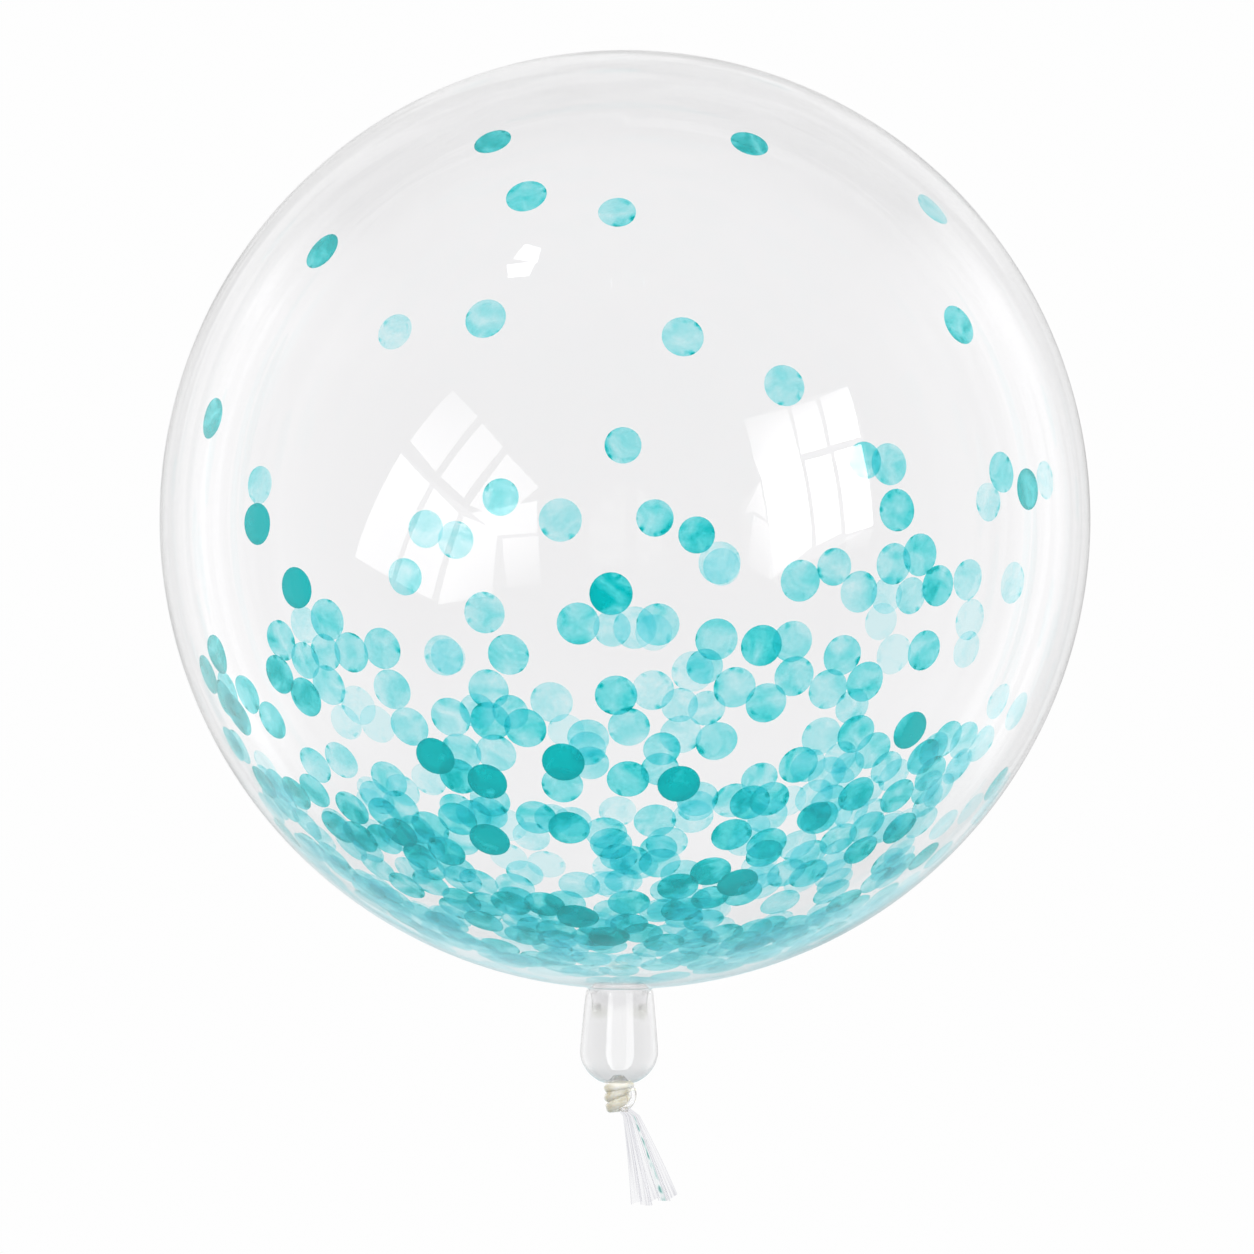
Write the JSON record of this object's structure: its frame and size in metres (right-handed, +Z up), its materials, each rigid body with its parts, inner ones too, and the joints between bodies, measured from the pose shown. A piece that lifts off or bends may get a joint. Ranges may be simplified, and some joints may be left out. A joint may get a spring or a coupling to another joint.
{
  "type": "bubble balloon",
  "caption": "Clear film bubble balloon lying on its side, with loose round paper confetti inside, a bell-shaped neck sleeve, a rubber cord tied round its neck and a short pleated film tail.",
  "frame": {"origin": "centre of the small flat spot that the lying ball rests on", "axes": "+Z up, away from the ground; +Y along the balloon's long axis, from the neck and tail to the crown; +X to the right of the picture, which looks down on the lying balloon"},
  "size_m": [0.46, 0.5718, 0.4587],
  "materials": {
    "clear_film": "clear glossy stretch film",
    "neck_film": "clear glossy film, gathered and pleated below the knot",
    "tie_rubber": "pale ivory, slightly see-through, soft gloss",
    "confetti_paper": "thin teal tissue, slightly see-through"
  },
  "bodies": {
    "root": {"ball": "clear_film", "neck_sleeve_and_tail": "neck_film", "tie_cord": "tie_rubber"}
  },
  "joints": []
}
